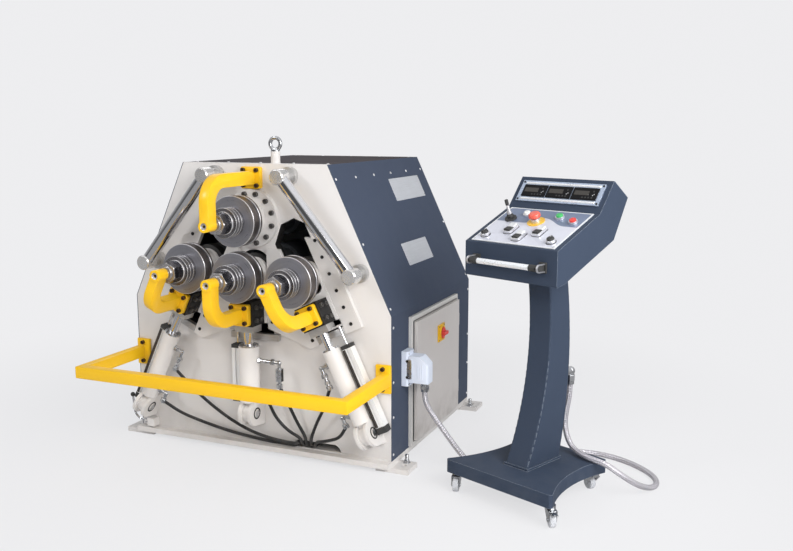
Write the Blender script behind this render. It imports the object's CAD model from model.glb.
import logging
import math
from collections.abc import Callable, Iterator, Sequence
from dataclasses import dataclass, field, replace
from enum import Enum
from itertools import product

import bmesh
import bpy
from mathutils import Matrix, Vector


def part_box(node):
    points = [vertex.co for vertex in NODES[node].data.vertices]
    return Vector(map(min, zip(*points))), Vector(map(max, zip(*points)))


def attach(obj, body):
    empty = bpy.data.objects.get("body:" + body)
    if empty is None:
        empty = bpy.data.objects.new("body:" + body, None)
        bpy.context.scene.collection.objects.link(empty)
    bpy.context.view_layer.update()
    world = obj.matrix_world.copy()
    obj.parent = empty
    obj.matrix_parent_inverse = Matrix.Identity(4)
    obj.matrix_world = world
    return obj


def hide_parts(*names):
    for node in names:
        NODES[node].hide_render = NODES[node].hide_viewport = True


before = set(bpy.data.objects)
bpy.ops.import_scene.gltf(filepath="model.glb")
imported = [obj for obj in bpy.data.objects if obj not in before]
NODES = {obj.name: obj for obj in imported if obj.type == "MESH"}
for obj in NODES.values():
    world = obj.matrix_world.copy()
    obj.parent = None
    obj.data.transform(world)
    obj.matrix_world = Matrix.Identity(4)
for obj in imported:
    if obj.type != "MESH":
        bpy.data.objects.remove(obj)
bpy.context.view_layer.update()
LOG = logging.getLogger("section_bender")
MM = 0.001
ROOT_BODY = "machine"

Pair = tuple[float, float]
Triple = tuple[float, float, float]
Colour = Triple
Pairs = Sequence[Pair]
Picker = Callable[[Vector, Vector], "Finish"]
Node = bpy.types.Node
Socket = bpy.types.NodeSocket


class Slide(Enum):
    """The three slides that carry the lower rolls."""

    LEFT = "left"
    CENTRE = "centre"
    RIGHT = "right"


class Corner(Enum):
    """The four casters under the console's tray."""

    FRONT_LEFT = "front_left"
    FRONT_RIGHT = "front_right"
    REAR_RIGHT = "rear_right"
    REAR_LEFT = "rear_left"


@dataclass(frozen=True)
class Place:
    """A local frame of the machine, with offsets in millimetres.

    Attributes:
        origin: its zero point, in metres.
        across: unit vector of its first axis.
        up: unit vector of its second axis.
        out: unit vector of its third axis.
    """

    origin: Vector
    across: Vector
    up: Vector
    out: Vector

    def at(self, a: float = 0.0, s: float = 0.0, p: float = 0.0) -> Vector:
        """Point at offsets along the three axes."""
        return self.origin + MM * (a * self.across + s * self.up + p * self.out)

    def matrix(self, a: float = 0.0, s: float = 0.0, p: float = 0.0) -> Matrix:
        """Matrix that puts a millimetre shape at offsets along the three axes."""
        turn = Matrix((self.across, self.up, self.out)).transposed().to_4x4()
        return Matrix.Translation(self.at(a, s, p)) @ turn @ Matrix.Scale(MM, 4)

    def local(self, point: Vector) -> Vector:
        """Offsets of a point in metres, in millimetres."""
        return self.turned(point - self.origin) / MM

    def turned(self, direction: Vector) -> Vector:
        """A direction in this frame's own axes."""
        return Vector((direction.dot(self.across), direction.dot(self.up), direction.dot(self.out)))

    def moved(self, a: float = 0.0, s: float = 0.0, p: float = 0.0) -> "Place":
        """The same frame at offsets along its axes."""
        return replace(self, origin=self.at(a, s, p))


X_AXIS = Vector((1, 0, 0))
Y_AXIS = Vector((0, 1, 0))
Z_AXIS = Vector((0, 0, 1))
WORLD = Place(Vector((0, 0, 0)), X_AXIS, Y_AXIS, Z_AXIS)
FRONT_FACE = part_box("front_plate")[0].y
BODY_HALF = 553.0
BODY_DEPTH = 856.0
KNEE = 572.0
BODY_TOP = 1100.0
TOP_HALF = 307.0
BASE_TOP = 38.0
CABLE_LENGTH = 1.87


def facing(x: float, z: float, tilt: float = 0.0) -> Place:
    """Frame on the front plate at a place in millimetres, turned by degrees, its third axis outwards."""
    c, s = math.cos(math.radians(tilt)), math.sin(math.radians(tilt))
    return Place(Vector((x * MM, FRONT_FACE, z * MM)), Vector((c, 0, s)), Vector((-s, 0, c)), -Y_AXIS)


SLIDE_TILT = 25.499
FRONT = facing(0, 0)
TOP_ROLL = facing(0, 900)
SLIDES = {
    Slide.LEFT: facing(-222, 695, -SLIDE_TILT),
    Slide.CENTRE: facing(0, 697),
    Slide.RIGHT: facing(222, 695, SLIDE_TILT),
}
LEFT_RAISED = 25.0
MOVING = {**SLIDES, Slide.LEFT: SLIDES[Slide.LEFT].moved(s=LEFT_RAISED)}
CONSOLE_TURN = math.radians(-22.7)
CONSOLE = Place(
    Vector((0.9876, -0.5861, 0)),
    Vector((math.cos(CONSOLE_TURN), math.sin(CONSOLE_TURN), 0)),
    Vector((-math.sin(CONSOLE_TURN), math.cos(CONSOLE_TURN), 0)),
    Z_AXIS,
)


def sloping(lower: Pair, upper: Pair) -> Place:
    """Frame on a sloping face of the console's head.

    Args:
        lower: depth and height of the face's lower edge.
        upper: depth and height of its upper edge.

    Returns:
        The frame: across, up the slope, outwards.
    """
    run = (Vector(upper) - Vector(lower)).normalized()
    up = run.x * CONSOLE.up + run.y * Z_AXIS
    out = run.x * Z_AXIS - run.y * CONSOLE.up
    return Place(CONSOLE.at(0, *lower), CONSOLE.across, up, out)


PLATE_SHEET = 2.5
PLATE_MARGIN = 9.0
PANEL = sloping((48, 863), (270, 960)).moved(s=PLATE_MARGIN, p=PLATE_SHEET)
DISPLAY = sloping((270, 960), (346, 1062))
SLOPE_RUN = Vector((TOP_HALF - BODY_HALF, 0, BODY_TOP - KNEE)).normalized()


def cover_side(hand: int) -> Place:
    """Frame on the upright part of a side cover, seen from outside."""
    return Place(Vector((hand * BODY_HALF * MM, 0, 0)), hand * Y_AXIS, Z_AXIS, hand * X_AXIS)


def cover_slope(hand: int) -> Place:
    """Frame on the sloping part of a side cover, its zero at the knee."""
    up, out = Vector((hand * SLOPE_RUN.x, 0, SLOPE_RUN.z)), Vector((hand * SLOPE_RUN.z, 0, -SLOPE_RUN.x))
    return Place(Vector((hand * BODY_HALF * MM, 0, KNEE * MM)), hand * Y_AXIS, up, out)


RIGHT_SIDE = cover_side(1)


def in_slides(middle: Vector) -> Iterator[tuple[Slide, Vector]]:
    """A point of the front plate's frame, seen in each slide's own frame."""
    for slide, place in SLIDES.items():
        yield slide, place.local(FRONT.at(*middle))


class Shade:
    """Adds and joins the nodes of one material or node group."""

    def __init__(self, tree: bpy.types.NodeTree) -> None:
        """Starts on a node tree."""
        self.tree = tree

    @classmethod
    def bare(cls, owner: bpy.types.Material | bpy.types.World) -> "Shade":
        """Empties the nodes of a material or world.

        Args:
            owner: the material or world.

        Returns:
            Its empty node tree, to add to.
        """
        owner.use_nodes = True
        owner.node_tree.nodes.clear()
        return cls(owner.node_tree)

    def node(self, kind: str, **settings: object) -> Node:
        """Adds a node.

        Args:
            kind: Blender's name of the node.
            settings: properties to set on it.

        Returns:
            The node.
        """
        made = self.tree.nodes.new(kind)
        for key, value in settings.items():
            setattr(made, key, value)
        return made

    def feed(self, socket: Socket, value: object) -> None:
        """Sets a socket to a value, or joins another socket to it.

        Args:
            socket: the input.
            value: value or output.
        """
        if isinstance(value, Socket):
            self.tree.links.new(value, socket)
        else:
            socket.default_value = (*value, 1)[:4] if socket.type == "RGBA" else value

    def fill(self, node: Node, *values: object, **named: object) -> Node:
        """Feeds a node's inputs.

        Args:
            node: the node.
            values: values or sockets for its first inputs, in their order.
            named: values or sockets by the input's name, spaces written as underscores.

        Returns:
            The node.
        """
        for socket, value in zip(node.inputs, values):
            self.feed(socket, value)
        for key, value in named.items():
            self.feed(node.inputs[key.replace("_", " ")], value)
        return node

    def math(self, operation: str, *values: object) -> Socket:
        """Result of a math node on numbers or sockets."""
        return self.fill(self.node("ShaderNodeMath", operation=operation), *values).outputs[0]

    def plus(self, a: object, b: object) -> Socket:
        """Sum of two numbers."""
        return self.math("ADD", a, b)

    def minus(self, a: object, b: object) -> Socket:
        """Difference of two numbers."""
        return self.math("SUBTRACT", a, b)

    def times(self, a: object, b: object) -> Socket:
        """Product of two numbers."""
        return self.math("MULTIPLY", a, b)

    def swing(self, value: Socket, amount: object) -> Socket:
        """A noise value's departure from its mean, times an amount."""
        return self.times(self.minus(value, 0.5), amount)

    def blend(self, a: Socket, b: Socket, share: float) -> Socket:
        """Sum of two values, the first weighted by its share."""
        return self.plus(self.times(a, share), self.times(b, 1.0 - share))

    def vector(self, operation: str, *values: object, **named: object) -> Node:
        """A vector math node on vectors or sockets."""
        return self.fill(self.node("ShaderNodeVectorMath", operation=operation), *values, **named)

    def dot(self, a: object, b: object) -> Socket:
        """Dot product of two vectors."""
        return self.vector("DOT_PRODUCT", a, b).outputs["Value"]

    def scaled(self, colour: Socket, factor: Socket) -> Socket:
        """A colour times a number."""
        return self.vector("SCALE", colour, Scale=factor).outputs[0]

    def parts(self, vector: Socket) -> Sequence[Socket]:
        """The three numbers of a vector."""
        return self.fill(self.node("ShaderNodeSeparateXYZ"), vector).outputs

    def mix(self, factor: object, a: object, b: object) -> Socket:
        """Mix of two colours.

        Args:
            factor: share of the second colour.
            a: first colour or socket.
            b: second colour or socket.

        Returns:
            The colour socket.
        """
        made = self.node("ShaderNodeMix", data_type="RGBA")
        for index, value in ((0, factor), (6, a), (7, b)):
            self.feed(made.inputs[index], value)
        return made.outputs[2]

    def join(self, share: Socket, first: Node, second: Node, output: str) -> None:
        """Mixes two shaders into an output."""
        both = self.fill(self.node("ShaderNodeMixShader"), share, first.outputs[0], second.outputs[0])
        self.fill(self.node(output), both.outputs[0])

    def ramp(self, value: object, low: float, high: float, start: float = 0.0, end: float = 1.0) -> Socket:
        """Smooth step between two limits of a value, from a start to an end."""
        made = self.node("ShaderNodeMapRange", interpolation_type="SMOOTHSTEP")
        return self.fill(made, value, low, high, start, end).outputs[0]

    def noise(self, place: object, scale: object, detail: float = 3.0, rough: float = 0.5) -> Socket:
        """Noise value at a place."""
        made = self.node("ShaderNodeTexNoise")
        return self.fill(made, Vector=place, Scale=scale, Detail=detail, Roughness=rough).outputs["Fac"]

    def rest_place(self) -> Socket:
        """Place on the piece at rest, in metres."""
        return self.node("ShaderNodeTexCoord").outputs["Object"]


class Effect:
    """A shader node group that several finishes share, built once."""

    made: dict[str, bpy.types.NodeTree] = {}
    result_kinds = {"Color": "NodeSocketColor", "Normal": "NodeSocketVector"}

    def __init__(self, name: str, *results: str, **inputs: object) -> None:
        """Opens a new group.

        Args:
            name: the group's name.
            results: names of its outputs: a colour, a normal or else a number.
            inputs: names of its inputs with their default values.
        """
        self.tree = bpy.data.node_groups.new(name, "ShaderNodeTree")
        for key, value in inputs.items():
            kind = "NodeSocketFloat"
            if isinstance(value, tuple):
                kind = "NodeSocketColor" if len(value) == 4 else "NodeSocketVector"
            socket = self.tree.interface.new_socket(key, in_out="INPUT", socket_type=kind)
            socket.default_value = value
        for key in results:
            kind = self.result_kinds.get(key, "NodeSocketFloat")
            self.tree.interface.new_socket(key, in_out="OUTPUT", socket_type=kind)
        self.shade = Shade(self.tree)
        self.given = self.shade.node("NodeGroupInput").outputs
        self.result = self.shade.node("NodeGroupOutput")
        Effect.made[name] = self.tree

    @staticmethod
    def place(shade: Shade, name: str, **values: object) -> Sequence[Socket]:
        """Puts a group into a material with its own values."""
        return shade.fill(shade.node("ShaderNodeGroup", node_tree=Effect.made[name]), **values).outputs


class Effects:
    """Builds the shared effects: rounded edges, enamel grain, dirt, turned marks and brushed streaks."""

    mid_grey = (0.5, 0.5, 0.5, 1)

    def build(self) -> None:
        """Makes every shared node group."""
        self.rounded_edges()
        self.enamel_grain()
        self.shop_dirt()
        self.turned_marks()
        self.brushed_streaks()

    def rounded_edges(self) -> None:
        """Normal that rounds sharp edges, and a broken mask of where they wear."""
        effect = Effect("rounded_edges", "Normal", "Mask", Radius=0.002, Breakup=60.0, Cover=0.0, Amount=0.5)
        shade, given = effect.shade, effect.given
        bevel = shade.fill(shade.node("ShaderNodeBevel", samples=6), Radius=given["Radius"]).outputs["Normal"]
        plain = shade.node("ShaderNodeNewGeometry").outputs["Normal"]
        bent = shade.minus(1, shade.dot(bevel, plain))
        broken = shade.plus(shade.noise(shade.rest_place(), given["Breakup"], 4, 0.65), given["Cover"])
        worn = shade.times(shade.ramp(bent, 0.03, 0.2), shade.ramp(broken, 0.42, 0.6))
        shade.fill(effect.result, Normal=bevel, Mask=shade.times(worn, given["Amount"]))

    def enamel_grain(self) -> None:
        """Slow colour drift, uneven gloss and orange-peel height of sprayed enamel."""
        effect = Effect("enamel_grain", "Color", "Roughness", "Height", Color=self.mid_grey, Mottle=0.1, Gloss=0.4,
                        Peel=420.0)
        shade, given = effect.shade, effect.given
        place = shade.rest_place()
        drift = shade.minus(shade.noise(place, 2.3, 3), 0.5)
        both = shade.plus(drift, shade.swing(shade.noise(place, 38, 4, 0.6), 0.35))
        factor = shade.plus(1, shade.times(both, given["Mottle"]))
        smear = shade.swing(shade.noise(place, 9, 5, 0.6), 0.28)
        shade.fill(effect.result, Color=shade.scaled(given["Color"], factor),
                   Roughness=shade.plus(given["Gloss"], smear), Height=shade.noise(place, given["Peel"], 2))

    def shop_dirt(self) -> None:
        """Dust on upward faces and dirt near the floor."""
        effect = Effect("shop_dirt", "Color", "Mask", Color=self.mid_grey, Dirt=(0.16, 0.13, 0.1, 1), Amount=0.4,
                        Dust=0.2, Reach=0.22)
        shade, given = effect.shade, effect.given
        place = shade.rest_place()
        low = shade.ramp(shade.math("DIVIDE", shade.parts(place)["Z"], given["Reach"]), 0, 1, 1, 0)
        blot = shade.ramp(shade.noise(place, 14, 6, 0.68), 0.36, 0.72)
        near_floor = shade.times(shade.times(low, blot), given["Amount"])
        normal = shade.parts(shade.node("ShaderNodeNewGeometry").outputs["Normal"])
        speck = shade.ramp(shade.noise(place, 26, 6, 0.7), 0.3, 0.75)
        dusty = shade.times(shade.times(shade.ramp(normal["Z"], 0.35, 0.95), speck), given["Dust"])
        mask = shade.math("MINIMUM", shade.plus(near_floor, dusty), 1)
        shade.fill(effect.result, Color=shade.mix(mask, given["Color"], given["Dirt"]), Mask=mask)

    def turned_marks(self) -> None:
        """Concentric tool marks about an axis through the front plate."""
        effect = Effect("turned_marks", "Color", "Value", "Height", Color=self.mid_grey, Centre=(0, 0, 0),
                        Pitch=900.0, Contrast=0.5)
        shade, given = effect.shade, effect.given
        across, along, up = shade.parts(shade.vector("SUBTRACT", shade.rest_place(), given["Centre"]).outputs[0])
        radius = shade.math("SQRT", shade.plus(shade.times(across, across), shade.times(up, up)))
        angle = shade.times(shade.math("ARCTAN2", up, across), 0.0006)
        rings = shade.fill(shade.node("ShaderNodeCombineXYZ"), radius, along, angle).outputs[0]
        fine = shade.noise(rings, given["Pitch"], 5, 0.75)
        broad = shade.noise(rings, shade.times(given["Pitch"], 0.14), 2)
        patch = shade.noise(shade.rest_place(), 30, 5, 0.7)
        value = shade.blend(shade.blend(fine, broad, 0.6), patch, 0.75)
        tone = shade.plus(1, shade.times(shade.swing(value, given["Contrast"]), 4))
        shade.fill(effect.result, Color=shade.scaled(given["Color"], shade.math("MAXIMUM", tone, 0.1)), Value=value,
                   Height=fine)

    def brushed_streaks(self) -> None:
        """Long fine streaks: coordinates are squeezed along the brushing."""
        effect = Effect("brushed_streaks", "Color", "Value", "Height", Color=self.mid_grey,
                        Stretch=(400, 400, 8), Contrast=0.4)
        shade, given = effect.shade, effect.given
        place = shade.vector("MULTIPLY", shade.rest_place(), given["Stretch"]).outputs[0]
        streak = shade.noise(place, 1, 4, 0.7)
        value = shade.blend(streak, shade.noise(shade.rest_place(), 18, 4, 0.6), 0.7)
        tone = shade.plus(1, shade.times(shade.swing(value, given["Contrast"]), 3))
        shade.fill(effect.result, Color=shade.scaled(given["Color"], tone), Value=value, Height=streak)


@dataclass(frozen=True)
class Finish:
    """A named surface finish.

    Attributes:
        name: the material's name.
        colour: its base colour, linear.
    """

    name: str
    colour: Colour

    def material(self) -> bpy.types.Material:
        """The finish's material, made on first use."""
        found = bpy.data.materials.get(self.name)
        if found:
            return found
        made = bpy.data.materials.new(self.name)
        made.diffuse_color = (*self.colour, 1)
        shade = Shade.bare(made)
        shader = shade.node("ShaderNodeBsdfPrincipled")
        shade.fill(shade.node("ShaderNodeOutputMaterial"), shader.outputs[0])
        self.dress(shade, shader)
        return made

    def dress(self, shade: Shade, shader: Node) -> None:
        """Joins the finish's nodes to its shader."""
        raise NotImplementedError

    def bump(self, shade: Shade, shader: Node, height: Socket, depth: float, normal: Socket | None = None) -> None:
        """Adds fine relief to a shader.

        Args:
            shade: the material's nodes.
            shader: the material's shader.
            height: height of the relief, from 0 to 1.
            depth: its depth in metres.
            normal: normal that it stands on.
        """
        relief = shade.fill(shade.node("ShaderNodeBump"), Distance=depth, Height=height)
        if normal is not None:
            shade.fill(relief, Normal=normal)
        shade.fill(shader, Normal=relief.outputs[0])


PALE_DUST: Colour = (0.3, 0.29, 0.28)


@dataclass(frozen=True)
class Enamel(Finish):
    """Sprayed enamel or powder coat: gloss, drift, worn edges, dirt and dust, peel and edge in metres, shine."""

    gloss: float = 0.4
    mottle: float = 0.12
    worn: Colour = (0.4, 0.38, 0.35)
    wear: float = 0.5
    cover: float = 0.0
    dirt: float = 0.4
    dust: float = 0.15
    dust_colour: Colour = (0.2, 0.17, 0.14)
    peel: float = 420.0
    depth: float = 0.00012
    edge: float = 0.0018
    coat: float = 0.15
    shine: float = 0.5

    def dress(self, shade: Shade, shader: Node) -> None:
        """Grain, then worn edges, then dirt.

        Args:
            shade: the material's nodes.
            shader: the material's shader.
        """
        grain = Effect.place(shade, "enamel_grain", Color=self.colour, Mottle=self.mottle, Gloss=self.gloss,
                             Peel=self.peel)
        edges = Effect.place(shade, "rounded_edges", Radius=self.edge, Cover=self.cover, Amount=self.wear)
        worn = shade.mix(edges["Mask"], grain["Color"], self.worn)
        soiled = Effect.place(shade, "shop_dirt", Color=worn, Dirt=self.dust_colour, Amount=self.dirt, Dust=self.dust)
        dull = shade.plus(grain["Roughness"], shade.times(soiled["Mask"], 0.35))
        shade.fill(shader, Base_Color=soiled["Color"], Roughness=dull, Coat_Weight=self.coat, Coat_Roughness=0.2,
                   Specular_IOR_Level=self.shine)
        self.bump(shade, shader, grain["Height"], self.depth, edges["Normal"])


@dataclass(frozen=True)
class TurnedSteel(Finish):
    """Lathe-turned steel with concentric marks about a centre in metres, and bright edges."""

    centre: Colour = (0, 0, 0)
    rough: float = 0.36
    contrast: float = 0.5
    pitch: float = 900.0
    edge: Colour = (0.75, 0.73, 0.71)
    wear: float = 0.8
    depth: float = 0.00008
    metal: float = 1.0

    def dress(self, shade: Shade, shader: Node) -> None:
        """Concentric marks with bright edges.

        Args:
            shade: the material's nodes.
            shader: the material's shader.
        """
        marks = Effect.place(shade, "turned_marks", Color=self.colour, Centre=self.centre, Pitch=self.pitch,
                             Contrast=self.contrast)
        edges = Effect.place(shade, "rounded_edges", Radius=0.0016, Breakup=25.0, Amount=self.wear)
        shade.fill(shader, Base_Color=shade.mix(edges["Mask"], marks["Color"], self.edge), Metallic=self.metal,
                   Roughness=shade.plus(self.rough, shade.swing(marks["Value"], 0.7)))
        self.bump(shade, shader, marks["Height"], self.depth, edges["Normal"])


@dataclass(frozen=True)
class BrushedMetal(Finish):
    """Drawn, ground, milled or plated metal with fine streaks, stretched along X, Y and Z."""

    stretch: Colour = (300, 300, 12)
    rough: float = 0.3
    contrast: float = 0.3
    metal: float = 1.0
    worn: Colour = (0.8, 0.8, 0.8)
    wear: float = 0.4
    depth: float = 0.00003
    edge: float = 0.001

    def dress(self, shade: Shade, shader: Node) -> None:
        """Streaked colour and gloss over rounded edges.

        Args:
            shade: the material's nodes.
            shader: the material's shader.
        """
        streaks = Effect.place(shade, "brushed_streaks", Color=self.colour, Stretch=self.stretch,
                               Contrast=self.contrast)
        edges = Effect.place(shade, "rounded_edges", Radius=self.edge, Breakup=90.0, Amount=self.wear)
        shade.fill(shader, Base_Color=shade.mix(edges["Mask"], streaks["Color"], self.worn), Metallic=self.metal,
                   Roughness=shade.plus(self.rough, shade.swing(streaks["Value"], 0.4)))
        self.bump(shade, shader, streaks["Height"], self.depth, edges["Normal"])


@dataclass(frozen=True)
class Moulded(Finish):
    """Moulded plastic or rubber with a fine grain and a little dust."""

    gloss: float = 0.35
    grain: float = 900.0
    depth: float = 0.00004
    dust: float = 0.08
    coat: float = 0.0
    shine: float = 0.5

    def dress(self, shade: Shade, shader: Node) -> None:
        """Fine mould grain, rounded edges and a little dust.

        Args:
            shade: the material's nodes.
            shader: the material's shader.
        """
        grain = Effect.place(shade, "enamel_grain", Color=self.colour, Mottle=0.2, Gloss=self.gloss, Peel=self.grain)
        edges = Effect.place(shade, "rounded_edges", Radius=0.0012, Amount=0.0)
        soiled = Effect.place(shade, "shop_dirt", Color=grain["Color"], Dirt=PALE_DUST, Amount=0.25,
                              Dust=self.dust)
        shade.fill(shader, Base_Color=soiled["Color"], Roughness=grain["Roughness"], Coat_Weight=self.coat,
                   Specular_IOR_Level=self.shine)
        self.bump(shade, shader, grain["Height"], self.depth, edges["Normal"])


@dataclass(frozen=True)
class WireBraid(Finish):
    """Wire braid over a sheath, woven in two crossing directions, with so many turns a metre."""

    turns: float = 110.0
    bundles: float = 8.0
    length: float = CABLE_LENGTH

    def dress(self, shade: Shade, shader: Node) -> None:
        """Two sets of helical wires that cross over and under.

        Args:
            shade: the material's nodes.
            shader: the material's shader.
        """
        uv = shade.node("ShaderNodeTexCoord").outputs["UV"]
        parts = shade.parts(uv)
        along = shade.times(parts["X"], self.turns * self.length)
        around = shade.times(parts["Y"], self.bundles)
        waves = []
        for sign in ("ADD", "SUBTRACT"):
            phase = shade.math(sign, along, around)
            waves.append(shade.math("SINE", shade.times(phase, math.pi)))
        weave = shade.times(*waves)
        raised = shade.ramp(weave, -0.55, 0.35)
        strands = shade.math("SINE", shade.times(shade.plus(along, around), 5.0 * math.pi))
        relief = shade.plus(raised, shade.times(strands, 0.12))
        grime = Effect.place(shade, "shop_dirt", Color=self.colour, Dirt=PALE_DUST, Amount=0.3, Dust=0.1)
        shade.fill(shader, Base_Color=shade.mix(raised, (0.3, 0.29, 0.31), grime["Color"]),
                   Roughness=shade.minus(0.42, shade.times(raised, 0.18)), Metallic=0.6)
        self.bump(shade, shader, relief, 0.0012)


@dataclass(frozen=True)
class ControlPlate(Finish):
    """Two-tone control plate in metres: a blue-grey field behind, pale in front, and a white border line."""

    field: Colour = (0.18, 0.225, 0.34)
    border: Colour = (0.86, 0.88, 0.9)
    half_width: float = 0.165
    length: float = 0.228

    def dress(self, shade: Shade, shader: Node) -> None:
        """Field with a wavy edge, border line and a satin print.

        Args:
            shade: the material's nodes.
            shader: the material's shader.
        """
        arm = shade.vector("SUBTRACT", shade.rest_place(), tuple(PANEL.origin)).outputs[0]
        across = shade.dot(arm, tuple(PANEL.across))
        up = shade.dot(arm, tuple(PANEL.up))
        hump = shade.times(shade.ramp(across, -0.045, 0.01), shade.ramp(across, 0.014, 0.11, 1, 0))
        edge = shade.plus(0.134, shade.times(hump, 0.04))
        behind = shade.ramp(shade.minus(up, edge), -0.0006, 0.0006)
        tone = shade.mix(behind, self.colour, self.field)
        side = shade.minus(self.half_width, shade.math("ABSOLUTE", across))
        middle = shade.math("ABSOLUTE", shade.minus(up, 0.5 * self.length))
        end = shade.minus(0.5 * self.length, middle)
        rim = shade.ramp(shade.math("MINIMUM", side, end), 0.004, 0.0048, 1, 0)
        grain = Effect.place(shade, "enamel_grain", Color=shade.mix(rim, tone, self.border), Mottle=0.1, Gloss=0.36,
                             Peel=700.0)
        soiled = Effect.place(shade, "shop_dirt", Color=grain["Color"], Dirt=PALE_DUST, Amount=0.0, Dust=0.1)
        shade.fill(shader, Base_Color=soiled["Color"], Roughness=grain["Roughness"], Metallic=0.25)
        self.bump(shade, shader, grain["Height"], 0.00004)


@dataclass(frozen=True)
class MeterWindow(Finish):
    """Dark tinted window of a panel meter."""

    def dress(self, shade: Shade, shader: Node) -> None:
        """Smoked glass with faint smears."""
        grain = Effect.place(shade, "enamel_grain", Color=self.colour, Mottle=0.5, Gloss=0.14, Peel=60.0)
        shade.fill(shader, Base_Color=grain["Color"], Roughness=grain["Roughness"], Coat_Weight=0.6,
                   Coat_Roughness=0.06)


CREAM = Enamel("cream_enamel", (0.755, 0.727, 0.706), gloss=0.42, mottle=0.07, worn=(0.5, 0.47, 0.44), wear=0.4,
               dirt=0.1, dust=0.06)
CABINET = Enamel("cabinet_enamel", (0.68, 0.665, 0.645), mottle=0.07, worn=(0.5, 0.49, 0.48), wear=0.4)
DOOR = Enamel("door_enamel", (0.62, 0.585, 0.565), mottle=0.07, worn=(0.45, 0.44, 0.43), wear=0.4, dirt=0.5)
GREASED = Enamel("greased_slot", (0.022, 0.021, 0.02), gloss=0.38, mottle=0.5, wear=0.0, dirt=0.0, dust=0.0)
SLATE = Enamel("slate_powder_coat", (0.061, 0.077, 0.117), gloss=0.6, mottle=0.14, worn=(0.3, 0.33, 0.39), dirt=0.15,
               dust=0.02, dust_colour=(0.2, 0.21, 0.23), peel=900.0, depth=0.0001, edge=0.0012, coat=0.0, shine=0.1)
CONSOLE_SLATE = replace(SLATE, name="console_powder_coat", colour=(0.04, 0.055, 0.087), gloss=0.55,
                        worn=(0.36, 0.41, 0.48), wear=0.7, cover=0.3, dirt=0.12, edge=0.0024, shine=0.14)
ROOF = Enamel("roof_powder_coat", (0.05, 0.041, 0.047), gloss=0.7, mottle=0.3, worn=(0.2, 0.18, 0.19), dust=0.04,
              dust_colour=(0.14, 0.12, 0.12), peel=900.0, coat=0.0, shine=0.08)
YELLOW = Enamel("golden_yellow_enamel", (0.97, 0.57, 0.012), gloss=0.34, mottle=0.08, worn=(0.5, 0.28, 0.05), wear=0.2,
                dirt=0.15, dust=0.04, edge=0.003, coat=0.1, shine=0.35)
GREY = Enamel("plain_grey_enamel", (0.12, 0.13, 0.14), gloss=0.45, dirt=0.3)
HOOD = Enamel("pale_grey_enamel", (0.73, 0.785, 0.9), gloss=0.42, mottle=0.08, worn=(0.6, 0.62, 0.66), wear=0.3,
              dirt=0.0)
CHROME = BrushedMetal("hard_chrome", (0.8, 0.8, 0.82), rough=0.1, contrast=0.12, wear=0.0)
SATIN = BrushedMetal("satin_aluminium", (0.72, 0.72, 0.75), stretch=(20, 300, 300), rough=0.34, contrast=0.2,
                     metal=0.8)
PROFILE = BrushedMetal("sensor_profile", (0.9, 0.9, 0.9), rough=0.4, contrast=0.08, metal=0.2, wear=0.2)
BEZEL = BrushedMetal("bezel_aluminium", (0.5, 0.58, 0.72), stretch=(12, 420, 420), rough=0.3, contrast=0.3,
                     metal=0.8)
BRIGHT = BrushedMetal("bright_plate", (0.92, 0.94, 0.97), stretch=(12, 420, 420), rough=0.3,
                          contrast=0.1, metal=0.35, wear=0.1)
POLISHED = BrushedMetal("polished_head", (0.76, 0.75, 0.74), stretch=(25, 25, 25), rough=0.22, contrast=0.06,
                        metal=0.75, wear=0.0)
MILLED = BrushedMetal("milled_steel", (0.56, 0.55, 0.54), stretch=(30, 240, 240), rough=0.36, contrast=0.3,
                      metal=0.7)
ZINC = BrushedMetal("zinc_plate", (0.6, 0.61, 0.63), stretch=(60, 60, 60), rough=0.28, contrast=0.5)
BLACKED = BrushedMetal("black_oxide", (0.035, 0.034, 0.034), stretch=(120, 120, 120), rough=0.4, contrast=0.6,
                       metal=0.7, worn=(0.3, 0.29, 0.28), wear=0.35)
SCREW_BROWN = BrushedMetal("browned_screw_steel", (0.1, 0.065, 0.045), stretch=(150, 150, 150), rough=0.42,
                           contrast=0.6, metal=0.8, worn=(0.4, 0.33, 0.26), wear=0.4)
GREY_SCREW = BrushedMetal("grey_screw_steel", (0.13, 0.125, 0.12), stretch=(150, 150, 150), rough=0.4,
                          contrast=0.5, metal=0.7, worn=(0.45, 0.44, 0.42), wear=0.5)
WHITE_SCREW = BrushedMetal("bright_screw_head", (0.86, 0.86, 0.87), stretch=(90, 90, 90), rough=0.3, contrast=0.2,
                           metal=0.5)
BARE_PLATE = BrushedMetal("bare_name_plate", (0.62, 0.64, 0.68), stretch=(260, 9, 260), rough=0.4, contrast=0.14,
                          metal=0.35, wear=0.2)
HOSE = Moulded("hose_rubber", (0.013, 0.013, 0.014), gloss=0.45, grain=1400.0, depth=0.0001)
STRIP = Moulded("dark_scale_strip", (0.05, 0.043, 0.04), gloss=0.45, shine=0.2)
BLACK = Moulded("black_plastic", (0.018, 0.018, 0.02), gloss=0.4)
METER_CASE = Moulded("meter_case", (0.009, 0.009, 0.01), gloss=0.45, dust=0.01, shine=0.1)
WINDOW = MeterWindow("meter_window", (0.02, 0.016, 0.01))
SEAL = Moulded("grey_seal", (0.2, 0.19, 0.18), gloss=0.5)
PALE = Moulded("pale_plastic", (0.7, 0.71, 0.73), gloss=0.35)
LAMP = Moulded("lamp_lens", (0.82, 0.82, 0.8), gloss=0.16, coat=0.5)
RED = Moulded("red_plastic", (0.5, 0.012, 0.02), gloss=0.22, coat=0.4)
STOP_RED = Moulded("stop_red_plastic", (0.78, 0.12, 0.08), gloss=0.26, coat=0.3)
GREEN = Moulded("green_plastic", (0.012, 0.24, 0.11), gloss=0.22, coat=0.4)
SIGNAL_YELLOW = Moulded("signal_yellow_plastic", (0.85, 0.5, 0.02), gloss=0.3)
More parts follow.
